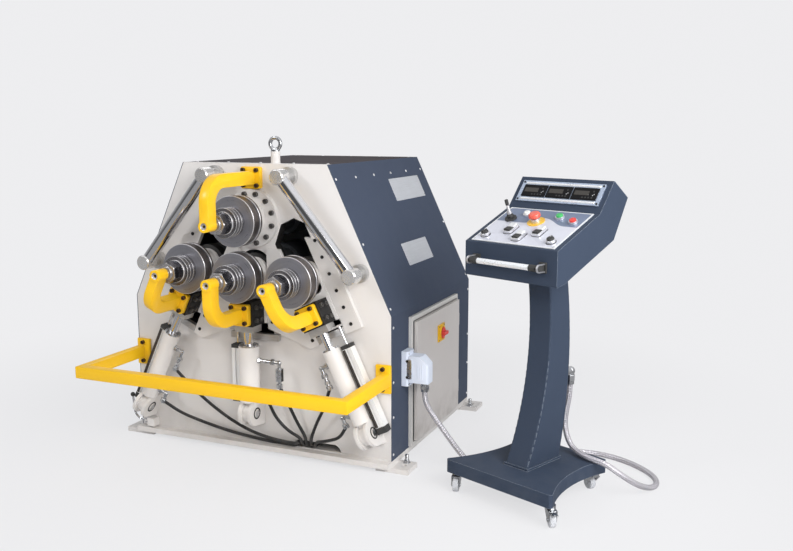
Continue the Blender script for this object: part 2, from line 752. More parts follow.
TYRE = Moulded("pale_wheel", (0.56, 0.57, 0.6), gloss=0.3)
BREAKER = Moulded("breaker_case", (0.5, 0.5, 0.49), gloss=0.5)
BRAID = WireBraid("wire_braid", (0.95, 0.92, 0.98))
PLATE = ControlPlate("two_tone_plate", (0.69, 0.705, 0.79))


def paint(node: str, pick: Finish | Picker, place: Place = WORLD) -> None:
    """Gives a CAD node its finishes, face by face.

    Args:
        node: name of the CAD node.
        pick: one finish, or a choice by a face's middle in millimetres and its normal.
        place: frame that the choice is made in.
    """
    mesh = NODES[node].data
    mesh.materials.clear()
    order: list[Finish] = []
    for face in mesh.polygons:
        finish = pick if isinstance(pick, Finish) else pick(place.local(face.center), place.turned(face.normal))
        if finish not in order:
            order.append(finish)
            mesh.materials.append(finish.material())
        face.material_index = order.index(finish)


@dataclass
class Solid:
    """One closed body among a CAD node's faces.

    Attributes:
        faces: indices of its faces in the node's mesh.
        low: lowest corner in the frame it was measured in, in millimetres.
        high: highest corner there.
    """

    faces: list[int]
    low: Vector
    high: Vector

    @property
    def middle(self) -> Vector:
        """Middle of its box."""
        return (self.low + self.high) / 2

    @property
    def size(self) -> Vector:
        """Lengths of its box."""
        return self.high - self.low


SPOTS_PER_METRE = 50000


def spot(point: Vector) -> tuple[int, ...]:
    """A point, rounded so that corners that meet are equal."""
    return tuple(round(c * SPOTS_PER_METRE) for c in point)


def solids(node: str, place: Place = WORLD) -> list[Solid]:
    """Finds the separate bodies of a CAD node.

    Args:
        node: name of the CAD node.
        place: frame that they are measured in.

    Returns:
        The bodies, in the order of their first faces.
    """
    mesh = NODES[node].data
    keys = [spot(vertex.co) for vertex in mesh.vertices]
    parent: dict[tuple, tuple] = {key: key for key in keys}

    def top(key: tuple) -> tuple:
        """Head of a point's group.

        Args:
            key: the point.

        Returns:
            The group's first point.
        """
        while parent[key] != key:
            parent[key] = parent[parent[key]]
            key = parent[key]
        return key

    for face in mesh.polygons:
        first = top(keys[face.vertices[0]])
        for index in face.vertices[1:]:
            parent[top(keys[index])] = first
    groups: dict[tuple, list[int]] = {}
    for face in mesh.polygons:
        groups.setdefault(top(keys[face.vertices[0]]), []).append(face.index)
    found = []
    for faces in groups.values():
        points = [place.local(mesh.vertices[v].co) for f in faces for v in mesh.polygons[f].vertices]
        low, high = (Vector([end(axis) for axis in zip(*points)]) for end in (min, max))
        found.append(Solid(faces, low, high))
    return found


def turns(sides: int) -> list[float]:
    """Even angles round a circle, in radians."""
    return [2 * math.pi * i / sides for i in range(sides)]


def polygon(radius: float, sides: int = 6) -> list[Pair]:
    """Corners of a regular outline."""
    return [(radius * math.cos(t), radius * math.sin(t)) for t in turns(sides)]


def hexagon(flat: float, sides: int) -> list[float]:
    """Radii of a hexagon at even angles, from half its width across flats."""
    return [flat / math.cos((t % (math.pi / 3)) - math.pi / 6) for t in turns(sides)]


def ring(matrix: Matrix, radii: Sequence[float], level: float) -> list[Vector]:
    """Points round a matrix's third axis at one height."""
    return [matrix @ Vector((r * math.cos(t), r * math.sin(t), level)) for r, t in zip(radii, turns(len(radii)))]


def inset(outline: Pairs, amount: float) -> Pairs:
    """Draws a convex outline in by an even amount.

    Args:
        outline: points, anticlockwise.
        amount: distance inwards.

    Returns:
        The new points.
    """
    if not amount:
        return outline
    count = len(outline)
    moved = []
    for i in range(count):
        before, here, after = (Vector(outline[(i + k) % count]) for k in (-1, 0, 1))
        first, second = (here - before).normalized(), (after - here).normalized()
        normal = Vector((-first.y - second.y, first.x + second.x))
        moved.append(tuple(here + normal * amount / max(0.2, 1 + first.dot(second))))
    return moved


def rounded(width: float, height: float, radius: float, steps: int = 5) -> list[Pair]:
    """Outline of a rectangle with round corners about its middle.

    Args:
        width: length across.
        height: length up.
        radius: corner radius.
        steps: points on each corner.

    Returns:
        The points, anticlockwise.
    """
    points = []
    for quarter, (x, y) in enumerate(((1, 1), (-1, 1), (-1, -1), (1, -1))):
        for step in range(steps):
            turn = math.radians(90 * quarter + 90 * step / (steps - 1))
            points.append((x * (width / 2 - radius) + radius * math.cos(turn),
                           y * (height / 2 - radius) + radius * math.sin(turn)))
    return points


def stand(name: str, data: bpy.types.ID) -> bpy.types.Object:
    """Puts an object into the scene."""
    bpy.context.scene.collection.objects.link(made := bpy.data.objects.new(name, data))
    return made


class Maker:
    """Gathers the faces of one piece and turns them into an object."""

    def __init__(self) -> None:
        """Starts an empty piece."""
        self.mesh = bmesh.new()
        self.finishes: list[Finish] = []

    def slot(self, finish: Finish) -> int:
        """Index of a finish among the piece's materials.

        Args:
            finish: the finish, which is added if it is new.

        Returns:
            Its index.
        """
        if finish not in self.finishes:
            self.finishes.append(finish)
        return self.finishes.index(finish)

    def loft(self, rings: Sequence[Sequence[Vector]], finish: Finish, caps: bool = True) -> None:
        """Skins closed rings of points of equal count.

        Args:
            rings: the rings, in metres.
            finish: finish of the faces.
            caps: whether the first and last rings are filled.
        """
        index = self.slot(finish)
        rows = [[self.mesh.verts.new(point) for point in points] for points in rings]
        count = len(rows[0])
        faces = []
        for lower, upper in zip(rows, rows[1:]):
            for i in range(count):
                j = (i + 1) % count
                faces.append(self.mesh.faces.new((lower[i], lower[j], upper[j], upper[i])))
        if caps:
            faces.append(self.mesh.faces.new(list(reversed(rows[0]))))
            faces.append(self.mesh.faces.new(rows[-1]))
        for face in faces:
            face.material_index = index

    def lathe(self, profile: Pairs, matrix: Matrix, finish: Finish, sides: int = 24, caps: bool = True) -> None:
        """Turned shape about a matrix's third axis, from radius and height pairs in millimetres."""
        self.loft([ring(matrix, [radius] * sides, height) for radius, height in profile], finish, caps)

    def socket_screw(self, matrix: Matrix, radius: float, height: float, finish: Finish, sides: int = 24) -> None:
        """Screw head with a chamfer and a hexagon socket.

        Args:
            matrix: its seat, with the third axis outwards.
            radius: head radius in millimetres.
            height: head height in millimetres.
            finish: its finish.
            sides: facets round it, a multiple of six.
        """
        bevel, hexes = 0.12 * radius, hexagon(0.5 * radius, sides)
        rows = (([radius] * sides, 0), ([radius] * sides, height - bevel), ([radius - bevel] * sides, height),
                ([1.08 * r for r in hexes], height), (hexes, height - 0.08 * radius), (hexes, 0.45 * height))
        self.loft([ring(matrix, *row) for row in rows], finish)

    def prism(self, outline: Pairs, low: float, high: float, matrix: Matrix, finish: Finish, bevel: float = 0) -> None:
        """Straight body on an anticlockwise outline in millimetres, with a chamfer round its top."""
        levels = [(0, low), (0, high - bevel)] + ([(bevel, high)] if bevel else [])
        self.loft([[matrix @ Vector((x, y, z)) for x, y in inset(outline, cut)] for cut, z in levels], finish)

    def tube(self, points: Sequence[Vector], radii: Sequence[float], finish: Finish, sides: int = 12) -> None:
        """Round bar of changing radius along points.

        Args:
            points: its middle line, in metres.
            radii: radius at each point, in millimetres.
            finish: its finish.
            sides: facets round it.
        """
        rings = []
        for i, point in enumerate(points):
            run = (points[min(i + 1, len(points) - 1)] - points[max(i - 1, 0)]).normalized()
            side = run.orthogonal().normalized() if abs(run.z) > 0.99 else run.cross(Z_AXIS).normalized()
            other = run.cross(side)
            rings.append([point + MM * (x * side + y * other) for x, y in polygon(radii[i], sides)])
        self.loft(rings, finish)

    def weld(self) -> None:
        """Joins bands that meet and fills the open ends."""
        bmesh.ops.remove_doubles(self.mesh, verts=self.mesh.verts, dist=1e-6)
        bmesh.ops.holes_fill(self.mesh, edges=[edge for edge in self.mesh.edges if edge.is_boundary])

    def soften(self, node: str, keep: Callable[[Solid], bool], pick: Picker, place: Place, width: float) -> None:
        """Takes over some of a node's bodies and rounds their edges.

        Args:
            node: name of the CAD node.
            keep: choice of the bodies.
            pick: choice of finish by a face's middle and normal.
            place: frame of the choices.
            width: size of the rounding in millimetres.
        """
        source, mesh = NODES[node].data, self.mesh
        corner: dict[tuple, bmesh.types.BMVert] = {}
        for index in (index for solid in solids(node, place) if keep(solid) for index in solid.faces):
            face = source.polygons[index]
            points = []
            for at in (source.vertices[v].co for v in face.vertices):
                if spot(at) not in corner:
                    corner[spot(at)] = mesh.verts.new(at)
                points.append(corner[spot(at)])
            if len(set(points)) > 2 and not mesh.faces.get(points):
                finish = pick(place.local(face.center), place.turned(face.normal))
                mesh.faces.new(points).material_index = self.slot(finish)
        bmesh.ops.recalc_face_normals(mesh, faces=mesh.faces)
        bmesh.ops.dissolve_limit(mesh, angle_limit=math.radians(0.6), verts=mesh.verts, edges=mesh.edges,
                                 delimit={"MATERIAL"})
        sharp = [e for e in mesh.edges if len(e.link_faces) == 2 and e.calc_face_angle() > math.radians(40)]
        bmesh.ops.bevel(mesh, geom=sharp, offset=width * MM, segments=2, profile=0.5, affect="EDGES",
                        clamp_overlap=True)

    def build(self, name: str, body: str, slot: str, angle: float = 32.0, node: str = "") -> None:
        """Makes the object and lets it ride on a body.

        Args:
            name: the piece's name.
            body: the CAD body that it moves with.
            slot: the record's material slot that it takes its finish from.
            angle: edges sharper than this stay sharp, in degrees.
            node: the CAD node that it stands for, if any.
        """
        bmesh.ops.recalc_face_normals(self.mesh, faces=self.mesh.faces)
        data = bpy.data.meshes.new(name)
        self.mesh.to_mesh(data)
        self.mesh.free()
        for finish in self.finishes:
            data.materials.append(finish.material())
        data.shade_smooth()
        data.set_sharp_from_angle(angle=math.radians(angle))
        piece = stand(name, data)
        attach(piece, body)
        if node:
            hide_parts(node)
        LOG.info("%s: %d faces on %s", name, len(data.polygons), body)


@dataclass
class Studio:
    """Camera, pale floor, soft lamps and world."""

    eye: Triple = (1.7717, -3.2742, 1.2408)
    pitch: float = 9.54
    yaw: float = 22.88
    focal_pixels: float = 899.8
    image_width: float = 793.0
    sensor: float = 36.0
    aim: Colour = (0.3, -0.2, 0.55)
    sky: Colour = (0.97, 0.98, 1)
    floor_colour: Colour = (0.86, 0.86, 0.87)
    backdrop: Colour = (0.852, 0.852, 0.868)
    ambient: float = 0.47
    room: float = 0.1
    mirrored_wall: float = 0.5
    mirrored_floor: float = 0.4
    floor_glow: float = 0.76
    floor_radius: float = 14.0
    lamps: tuple = field(default_factory=lambda: (
        ("key", (-2.2, -3.7, 3), 46, 0.8), ("side", (3, -3, 2.3), 80, 2),
        ("console", (2.6, -1.1, 1.6), 30, 1.2), ("back", (-2.4, 3.4, 3.2), 20, 2.4)))

    def build(self) -> None:
        """Makes the camera, the lamps, the world and the floor."""
        scene = bpy.context.scene
        scene.view_settings.view_transform = "Standard"
        lens = bpy.data.cameras.new("photo_camera")
        lens.sensor_width = self.sensor
        lens.lens = self.focal_pixels / self.image_width * self.sensor
        camera = stand("photo_camera", lens)
        camera.location = self.eye
        camera.rotation_euler = (math.radians(90 - self.pitch), 0, math.radians(self.yaw))
        scene.camera = camera
        for lamp in self.lamps:
            self.lamp(*lamp)
        self.world()
        self.floor()
        LOG.info("studio: camera, %d lamps and floor", len(self.lamps))

    def lamp(self, name: str, place: Triple, power: float, size: float) -> None:
        """Adds a square soft lamp aimed at the machine's middle.

        Args:
            name: the lamp's name.
            place: where it hangs, in metres.
            power: its power in watts.
            size: its side in metres.
        """
        data = bpy.data.lights.new(name, "AREA")
        data.energy = power
        data.size = size
        lamp = stand(name, data)
        lamp.location = place
        lamp.rotation_euler = (Vector(self.aim) - Vector(place)).to_track_quat("-Z", "Y").to_euler()

    def world(self) -> None:
        """Soft light all round; the camera, mirrors and glass see the backdrop, and mirrors the dim room in front."""
        world = bpy.data.worlds.new("studio_world")
        bpy.context.scene.world = world
        shade = Shade.bare(world)
        glossy, seen = self.rays(shade)
        soft = shade.fill(shade.node("ShaderNodeBackground"), self.sky, self.ambient)
        way = shade.parts(shade.node("ShaderNodeTexCoord").outputs["Generated"])
        behind = shade.ramp(way["Y"], -0.75, 0.3, self.room, self.mirrored_wall)
        dim = shade.minus(1, shade.math("MAXIMUM", behind, shade.ramp(way["Z"], 0.4, 0.75)))
        strength = shade.minus(1, shade.times(glossy, dim))
        shown = shade.fill(shade.node("ShaderNodeBackground"), self.backdrop, strength)
        shade.join(seen, soft, shown, "ShaderNodeOutputWorld")

    @staticmethod
    def rays(shade: Shade) -> tuple[Socket, Socket]:
        """Whether a ray is a mirror's, and whether it is the camera's, a mirror's or one through glass.

        Args:
            shade: the nodes to add to.

        Returns:
            The two number sockets.
        """
        kinds = shade.node("ShaderNodeLightPath").outputs
        clear = shade.math("MAXIMUM", kinds["Is Camera Ray"], kinds["Is Transmission Ray"])
        return kinds["Is Glossy Ray"], shade.math("MAXIMUM", clear, kinds["Is Glossy Ray"])

    def floor(self) -> None:
        """Round pale floor that keeps the shadow and fades into the backdrop."""
        mesh = bmesh.new()
        bmesh.ops.create_circle(mesh, cap_ends=True, segments=96, radius=self.floor_radius)
        data = bpy.data.meshes.new("studio_floor")
        mesh.to_mesh(data)
        mesh.free()
        made = bpy.data.materials.new("studio_floor")
        shade = Shade.bare(made)
        distance = shade.vector("LENGTH", shade.rest_place()).outputs["Value"]
        diffuse = shade.fill(shade.node("ShaderNodeBsdfDiffuse"), self.floor_colour)
        glossy, seen = self.rays(shade)
        strength = shade.minus(1, shade.times(glossy, 1.0 - self.mirrored_floor))
        glow = shade.fill(shade.node("ShaderNodeEmission"), self.backdrop, strength)
        share = shade.math("MAXIMUM", shade.ramp(distance, 0.7, 2.4, self.floor_glow, 1), glossy)
        shade.join(shade.times(share, seen), diffuse, glow, "ShaderNodeOutputMaterial")
        data.materials.append(made)
        stand("studio_floor", data)


@dataclass
class ControlCable:
    """Armoured cable over the floor to the console, its route in millimetres out from the body's side."""

    wall: float = BODY_HALF * MM
    radius: float = 0.0098
    length: float = CABLE_LENGTH
    route: tuple = (
        (80, -310, 278), (80, -310, 250), (98, -313, 213), (134, -317, 170),
        (178, -320, 118), (222, -325, 70), (260, -324, 34), (296, -306, 14),
        (328, -262, 10.2), (356, -196, 10.2), (398, -122, 10.2), (458, -58, 10.2),
        (524, -12, 10.2), (596, 14, 10.2), (676, 16, 10.2), (756, -14, 10.2),
        (832, -70, 10.2), (884, -134, 10.2), (903, -200, 10.2), (887, -258, 15),
        (851, -310, 40), (801, -348, 82), (749, -360, 119), (697, -344, 123),
        (651, -310, 123), (615, -276, 133), (592, -256, 166), (584, -249, 216),
        (590, -249, 264), (598.5, -251.4, 312), (598.5, -251.4, 351))

    def build(self) -> None:
        """Makes the cable as one smooth line with a round section."""
        data = bpy.data.curves.new("armoured_cable", "CURVE")
        data.dimensions = "3D"
        data.bevel_depth = self.radius
        data.bevel_resolution = 6
        data.resolution_u = 10
        spline = data.splines.new("NURBS")
        spline.points.add(len(self.route) - 1)
        for point, (x, y, z) in zip(spline.points, self.route):
            point.co = (self.wall + x * MM, y * MM, z * MM, 1)
        spline.order_u = 3
        spline.use_endpoint_u = True
        data.materials.append(BRAID.material())
        cable = stand("armoured_cable", data)
        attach(cable, ROOT_BODY)
        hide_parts("control_cable")
        x, y, z = self.route[0]
        LOG.info("armoured_cable: %d control points", len(self.route))


@dataclass
class BodyShell:
    """Plates, covers, base, eyebolt and what is fastened to them."""

    screw_radius: float = 5.0
    screw_height: float = 2.4
    edge_inset: float = 13.0
    top_pitch: float = 163.0
    top_start: float = 76.0
    top_up: float = 525.0
    slope_ups: tuple[float, ...] = (27, 275)
    side_levels: tuple[float, ...] = (60, 200, 330, 530)
    roof_columns: tuple[float, ...] = (-280, -140, 0, 140, 280)
    roof_rows: tuple[float, ...] = (-372, 396)
    bead_radius: float = 5.0
    bead_pitch: float = 4.0
    bead_end: float = 538.0
    boss: Triple = (85, 20, 17.5)
    boss_top: float = 1144.2
    slot_half: float = 520.0
    slot_levels: Pair = (120, 1090)
    shoulder: float = 750.0

    def build(self) -> None:
        """Paints the shell and adds its screws, bare plates and weld beads."""
        paint("base_frame", CREAM)
        paint("front_plate", self.front_finish, FRONT)
        paint("rear_plate", CREAM)
        paint("top_cover", ROOF)
        for hand in ("left", "right"):
            paint(f"side_cover_{hand}", SLATE)
        paint("lifting_eyebolt", self.eyebolt_finish)
        self.cover_screws()
        self.bare_plates()
        self.weld_beads()

    def front_finish(self, middle: Vector, normal: Vector) -> Finish:
        """Enamel outside, black grease on the slots' walls.

        Args:
            middle: the face's middle in millimetres.
            normal: its normal.

        Returns:
            Its finish.
        """
        low, high = self.slot_levels
        inside = abs(normal.z) < 0.5 and middle.z < -0.5 and abs(middle.x) < self.slot_half and low < middle.y <= high
        at_edge = abs(middle.x) > TOP_HALF and abs(normal.x) > 0.3 and middle.y > self.shoulder
        return GREASED if inside and not at_edge else CREAM

    def eyebolt_finish(self, middle: Vector, normal: Vector) -> Finish:
        """Painted boss below, plated eyebolt above."""
        seat = normal.z > 0.9 and middle.z > self.boss_top - 1.2
        return CREAM if middle.z < self.boss_top and not seat else ZINC

    def screw(self, maker: Maker, matrix: Matrix) -> None:
        """Low domed cover screw with a cross slot's shadow.

        Args:
            maker: the piece that it joins.
            matrix: its seat.
        """
        r, h = self.screw_radius, self.screw_height
        dome = ((r, 0), (r, 0.35 * h), (0.86 * r, 0.75 * h), (0.5 * r, h), (0.3 * r, h), (0.16 * r, 0.6 * h))
        maker.lathe(dome, matrix, WHITE_SCREW, 16)

    def cover_screws(self) -> None:
        """Bright screws along the edges of both side covers and the roof."""
        maker = Maker()
        side = BODY_DEPTH / 2 - self.edge_inset
        for hand in (1, -1):
            slope, upright = cover_slope(hand), cover_side(hand)
            for step in range(-3, 3):
                across = max(-side, min(side, self.top_start + step * self.top_pitch))
                self.screw(maker, slope.matrix(hand * across, self.top_up))
            for across in (-side, side):
                for up in self.slope_ups:
                    self.screw(maker, slope.matrix(across, up))
                for level in self.side_levels:
                    self.screw(maker, upright.matrix(across, level))
        for x, y in product(self.roof_columns, self.roof_rows):
            self.screw(maker, WORLD.matrix(x, y, BODY_TOP))
        maker.build("cover_screws", ROOT_BODY, "machined_steel")

    def bare_plates(self) -> None:
        """Two blank plates on the right cover, riveted at their corners."""
        maker = Maker()
        for left, right, low, high in ((28, 338, 405, 500), (-106, 149, 147, 237)):
            plate = cover_slope(1).moved((left + right) / 2, (low + high) / 2)
            width, height = right - left, high - low
            maker.prism(rounded(width, height, 4), 0, 1.4, plate.matrix(), BARE_PLATE, 0.5)
            for x, y in product((-1, 1), repeat=2):
                rivet = plate.matrix(x * (width / 2 - 8), y * (height / 2 - 8), 1.4)
                maker.lathe(((2.6, 0), (2.3, 0.7), (1.2, 1.2), (0.3, 1.3)), rivet, ZINC, 12)
        maker.build("bare_name_plates", ROOT_BODY, "aluminium")

    def weld_beads(self) -> None:
        """Rippled fillet welds under the front plate and round the eyebolt's boss."""
        maker = Maker()
        count = int(2 * self.bead_end / self.bead_pitch)
        seam = [Vector((self.bead_end * (2 * i / count - 1) * MM, FRONT_FACE, BASE_TOP * MM)) for i in range(count + 1)]
        x, depth, radius = self.boss
        boss = Vector((x * MM, FRONT_FACE + depth * MM, BODY_TOP * MM))
        loop = [boss + MM * Vector((*corner, 0)) for corner in (*polygon(radius, 60), (radius, 0))]
        for run, scale in ((seam, 1), (loop, 0.6)):
            ripple = [scale * self.bead_radius * (0.8 + 0.2 * abs(math.sin(1.9 * i))) for i in range(len(run))]
            maker.tube(run, ripple, CREAM, 10)
        maker.build("weld_beads", ROOT_BODY, "cream_paint")


@dataclass
class RollSets:
    """Four roll sets: shaft, two discs round a groove, three spacers, washer and nut."""

    shaft: float = 35.0
    collar: float = 43.0
    disc: float = 92.5
    bevel: float = 1.6
    groove: float = 72.0
    stations: tuple[float, ...] = (88.5, 93, 106, 115, 150)
    spacer: float = 54.0
    spacer_depth: float = 17.6
    spacer_bevel: float = 0.9
    gap: float = 1.0
    washer: float = 40.5
    nut: float = 33.5
    nut_depth: float = 46.0
    stub: float = 24.0
    stub_depth: float = 90.0
    sides: int = 72
    surfaces: tuple[tuple[str, TurnedSteel], ...] = (
        ("face", TurnedSteel("roll_face", (0.33, 0.33, 0.365), rough=0.34, contrast=0.2, metal=0.75)),
        ("rim", TurnedSteel("roll_rim", (0.17, 0.152, 0.15), rough=0.36, contrast=0.4, metal=0.85)),
        ("edge", TurnedSteel("roll_edge", (0.7, 0.69, 0.7), rough=0.3, contrast=0.08, metal=0.5)),
        ("dark", TurnedSteel("roll_groove", (0.03, 0.028, 0.028), wear=0.0)),
        ("spacer", TurnedSteel("roll_spacer", (0.25, 0.24, 0.25), rough=0.28, contrast=0.2, metal=0.85)),
        ("nut_face", TurnedSteel("roll_nut_face", (0.5, 0.49, 0.5), rough=0.28, contrast=0.1, metal=0.8)),
        ("nut", TurnedSteel("roll_nut", (0.17, 0.17, 0.19), rough=0.24, contrast=0.15, pitch=500.0)))

    def build(self) -> None:
        """Turns each roll about its own axis."""
        self.roll("top", TOP_ROLL)
        for slide, place in MOVING.items():
            self.roll(slide.value, place)

    def finishes(self, name: str, centre: Colour) -> dict[str, TurnedSteel]:
        """The turned finishes of one roll."""
        return {key: replace(steel, name=f"{steel.name}_{name}", centre=centre) for key, steel in self.surfaces}

    def bands(self) -> list[tuple[str, tuple[Pair, ...]]]:
        """Surfaces of the discs and spacers, from the collar out, as radius and distance pairs."""
        start, back, ring, step, front = self.stations
        r, e = self.disc, self.bevel
        rows = [("rim", ((self.collar, start), (self.collar, back))), ("face", ((self.collar, back), (r - e, back)))]
        for near, far, inner in ((back, ring, self.groove), (step, front, self.spacer - 4)):
            rows += [("edge", ((r - e, near), (r, near + e))), ("rim", ((r, near + e), (r, far - e))),
                     ("edge", ((r, far - e), (r - e, far))), ("face", ((r - e, far), (inner, far)))]
            if near == back:
                rows += [("dark", ((inner, far), (inner, step))), ("face", ((inner, step), (r - e, step)))]
        r, low, e = self.spacer, self.spacer - 4, self.spacer_bevel
        for index in range(3):
            near = front + index * self.spacer_depth + self.gap
            far = near + self.spacer_depth - 2 * self.gap
            inner = self.washer if index == 2 else low
            rows += [("dark", ((low, near - self.gap), (low, near), (r - e, near))),
                     ("edge", ((r - e, near), (r, near + e))), ("spacer", ((r, near + e), (r, far - e))),
                     ("edge", ((r, far - e), (r - e, far))), ("spacer", ((r - e, far), (inner, far)))]
            if index < 2:
                rows += [("dark", ((low, far), (low, far + self.gap)))]
        return rows

    def roll(self, name: str, place: Place) -> None:
        """Makes one roll set.

        Args:
            name: which roll.
            place: its frame on the front plate.
        """
        finishes = self.finishes(name, tuple(place.origin))
        matrix = place.matrix()
        maker = Maker()
        rear = (FRONT_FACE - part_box(f"roll_{name}")[1].y) / MM
        neck, start = rear + self.stub_depth, self.stations[0]
        shaft = ((self.stub, rear), (self.stub, neck), (self.shaft, neck), (self.shaft, start), (self.collar, start))
        maker.lathe(shaft, matrix, finishes["rim"], self.sides, caps=False)
        for key, profile in self.bands():
            maker.lathe(profile, matrix, finishes[key], self.sides, caps=False)
        seat = self.stations[-1] + 3 * self.spacer_depth - self.gap
        self.nut_end(maker, matrix, seat, finishes)
        maker.weld()
        maker.build(f"roll_{name}_dressed", f"roll_{name}", "roll_steel", 20, f"roll_{name}")

    def nut_end(self, maker: Maker, matrix: Matrix, seat: float, finishes: dict[str, TurnedSteel]) -> None:
        """Washer, hexagon nut and threaded end.

        Args:
            maker: the piece that they join.
            matrix: the roll's place.
            seat: distance of the last spacer's face from the plate.
            finishes: the roll's finishes.
        """
        sides, base = self.sides, seat + 5.2
        top = base + self.nut_depth
        maker.lathe(((self.washer, seat), (self.washer, base - 1), (self.washer - 1, base)), matrix, finishes["edge"],
                    sides, caps=False)
        flats = hexagon(self.nut, sides)
        chamfer = [min(radius, 1.05 * self.nut) for radius in flats]
        flanks = (([self.washer - 1] * sides, base), (chamfer, base), (flats, base + 2.4), (flats, top - 2.4))
        front = ((flats, top - 2.4), (chamfer, top), ([self.stub] * sides, top), ([self.stub] * sides, top + 4),
                 ([self.stub - 2] * sides, top + 6))
        for rows, key in ((flanks, "nut"), (front, "nut_face")):
            maker.loft([ring(matrix, *row) for row in rows], finishes[key], caps=False)


SCREW_WIDTH = 17.0
SCREW_DEPTH = 11.0
SOFT_ANGLE = 40.0


@dataclass
class SupportArms:
    """Yellow outboard arms with their cap screws and centre pins."""

    rounding: float = 3.2
    screw_size: Pair = (8, 10)
    pin_radius: float = 12.4
    socket_radius: float = 6.6

    def build(self) -> None:
        """Rounded arms, browned socket screws and bright pins."""
        self.arm("top", TOP_ROLL, ROOT_BODY)
        for slide, place in MOVING.items():
            turned = Place(place.origin, -place.across, -place.up, place.out)
            self.arm(slide.value, turned, f"carriage_{slide.value}")

    def arm(self, name: str, place: Place, body: str) -> None:
        """One arm.

        Args:
            name: which arm.
            place: its frame, with the arm's root above the axis.
            body: the CAD body that it moves with.
        """
        face = TurnedSteel(f"arm_pin_{name}", (0.8, 0.79, 0.8), tuple(place.origin), rough=0.4, contrast=0.2)

        def is_screw(solid: Solid) -> bool:
            """Whether a body is one of the four cap screws."""
            return max(solid.size.xy) < SCREW_WIDTH and solid.size.z < SCREW_DEPTH

        def pick(middle: Vector, normal: Vector) -> Finish:
            """Bright pin end with a dark socket, enamel elsewhere."""
            away = math.hypot(middle.x, middle.y)
            return YELLOW if away > self.pin_radius else face if away > self.socket_radius else BLACKED

        node = f"support_arm_{name}"
        maker = Maker()
        maker.soften(node, lambda solid: not is_screw(solid), pick, place, self.rounding)
        maker.build(f"{node}_dressed", body, "yellow_paint", SOFT_ANGLE, node)
        maker = Maker()
        for solid in filter(is_screw, solids(node, place)):
            seat = place.matrix(solid.middle.x, solid.middle.y, solid.low.z)
            maker.socket_screw(seat, *self.screw_size, SCREW_BROWN)
        maker.build(f"{node}_screws", body, "blacked_steel")


@dataclass
class Carriages:
    """Slide blocks, bearing noses and their screws."""

    slide_front: float = 22.2
    slide_back: float = -0.7
    drive_back: float = -58.0
    block_top: float = -90.0
    bare_end: float = -30.0
    nose: float = 60.5
    rounding: float = 1.2
    screw_size: Pair = (8, 10)
    flange_back: float = -40.0
    bearing: Pair = (49.5, 87)

    def build(self) -> None:
        """Enamelled slides and noses over black blocks with socket screws."""
        for slide, place in MOVING.items():
            self.carriage(slide.value, place)
        paint("top_roll_housing", self.housing_finish, TOP_ROLL)

    def housing_finish(self, middle: Vector, normal: Vector) -> Finish:
        """Enamelled flange and nose, steel bearings, grey drive."""
        bearing = math.hypot(middle.x, middle.y) < self.bearing[0] and middle.z < self.bearing[1]
        return GREY if middle.z < self.flange_back else MILLED if bearing else CREAM

    def carriage(self, name: str, place: Place) -> None:
        """One carriage.

        Args:
            name: which slide.
            place: the slide's frame.
        """
        def is_screw(solid: Solid) -> bool:
            """Whether a body is one of the side screws."""
            return max(solid.size.yz) < SCREW_WIDTH and solid.size.x < SCREW_DEPTH

        def pick(middle: Vector, normal: Vector) -> Finish:
            """Grey drive, enamelled slide and nose, greased sides, black block.

            Args:
                middle: the face's middle in millimetres.
                normal: its normal.

            Returns:
                Its finish.
            """
            if middle.z < self.drive_back:
                return GREY
            if middle.z > self.slide_front and middle.y < self.block_top:
                return BLACKED
            side = middle.z < self.slide_front and middle.y > self.bare_end
            bare = side and math.hypot(middle.x, middle.y) > self.nose
            return GREASED if bare or middle.z < self.slide_back else CREAM

        node = f"carriage_{name}"
        maker = Maker()
        maker.soften(node, lambda solid: not is_screw(solid), pick, place, self.rounding)
        maker.build(f"{node}_dressed", node, "blacked_steel", SOFT_ANGLE, node)
        maker = Maker()
        for solid in filter(is_screw, solids(node, place)):
            hand = 1 if solid.middle.x > 0 else -1
            sideways = Place(place.origin, -hand * place.out, place.up, hand * place.across)
            seat = solid.low.x if hand > 0 else -solid.high.x
            matrix = sideways.matrix(-hand * solid.middle.z, solid.middle.y, seat)
            maker.socket_screw(matrix, *self.screw_size, GREY_SCREW)
        maker.build(f"{node}_screws", node, "blacked_steel")


